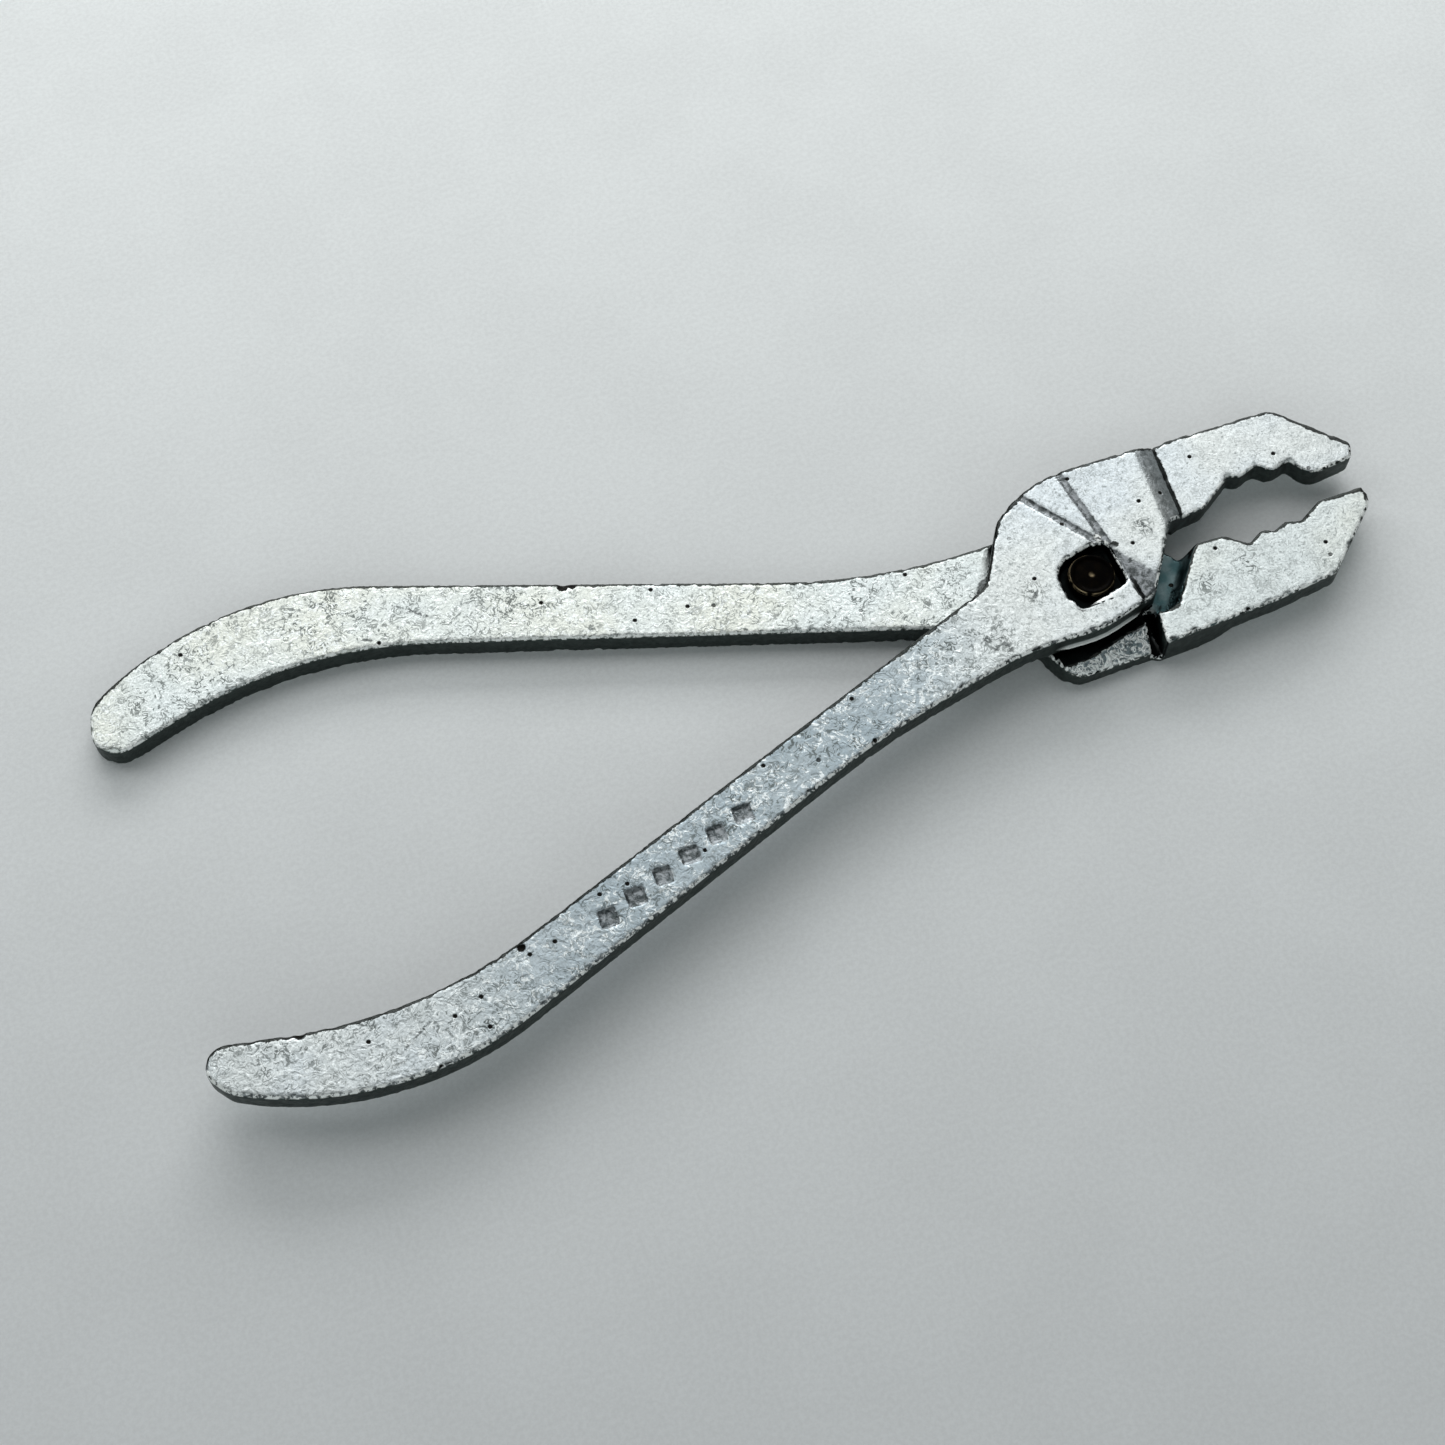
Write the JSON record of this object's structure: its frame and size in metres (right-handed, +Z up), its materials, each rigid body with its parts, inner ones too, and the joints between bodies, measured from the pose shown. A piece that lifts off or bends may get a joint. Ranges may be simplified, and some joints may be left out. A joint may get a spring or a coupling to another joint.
{
  "type": "lap joint pliers",
  "caption": "Small flat steel pliers with a lapped, riveted joint, curved flat handles and a toothed oval pipe grip behind flat jaw tips.",
  "frame": {"origin": "on the rivet's axis, in the plane of the underside that the pliers lie on", "axes": "+X along the middle of the jaws towards their tips, +Z up along the rivet's axis"},
  "size_m": [0.1146, 0.0478, 0.0049],
  "materials": {
    "zinc_lower": "bright zinc plate, finely mottled",
    "zinc_upper": "bright zinc plate, finely mottled, cooler tint",
    "dark_steel": "bare steel darkened by oil and rust, glossy"
  },
  "bodies": {
    "lower_body": {"lower_half": "zinc_lower"},
    "upper_body": {"upper_half": "zinc_upper", "pivot_rivet": "dark_steel"}
  },
  "joints": [
    {"name": "jaw_pivot", "type": "hinge", "parent": "lower_body", "child": "upper_body", "pos_m": [0, 0, 0], "axis": [0, 0, 1], "range_deg": [-6.3, 11]}
  ]
}
